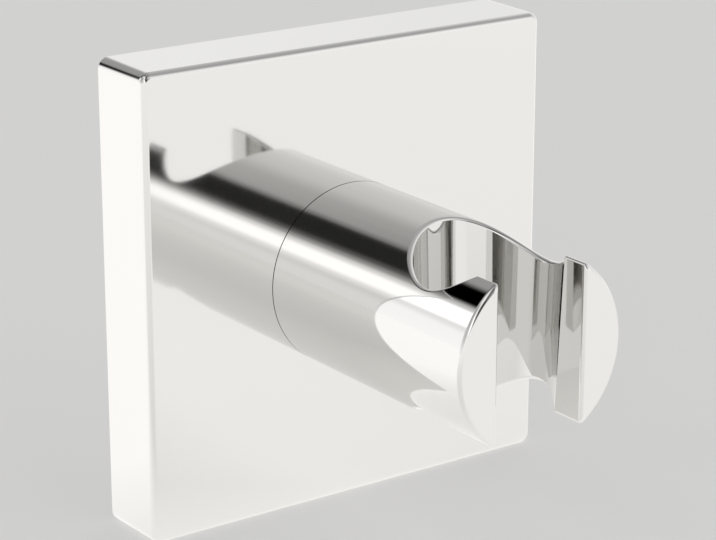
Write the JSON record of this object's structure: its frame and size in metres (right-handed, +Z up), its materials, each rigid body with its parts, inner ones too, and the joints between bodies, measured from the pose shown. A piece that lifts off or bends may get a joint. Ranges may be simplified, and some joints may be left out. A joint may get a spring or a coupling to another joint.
{
  "type": "hand shower holder",
  "caption": "Wall-mounted hand shower holder: a hollow square cover plate with a round arm whose free end is a keyhole cradle for a hose's conical nut.",
  "frame": {"origin": "centre of the wall face", "axes": "+Y into the wall, +Z up, +X to the right seen from the room; the arm stands out along -Y"},
  "size_m": [0.075, 0.0597, 0.075],
  "materials": {
    "polished_chrome": "mirror-polished chrome plating",
    "washer_plastic": "thin dark plastic film",
    "stainless_sheet": "stamped stainless sheet",
    "turned_brass": "turned brass",
    "ring_rubber": "moulded rubber",
    "screw_steel": "plain stainless steel"
  },
  "bodies": {
    "root": {"escutcheon": "polished_chrome", "holder_arm": "polished_chrome", "arm_washer": "washer_plastic", "wall_bracket": "stainless_sheet", "mounting_spigot": "turned_brass", "centring_ring": "ring_rubber", "arm_grub_screw": "screw_steel"}
  },
  "joints": []
}
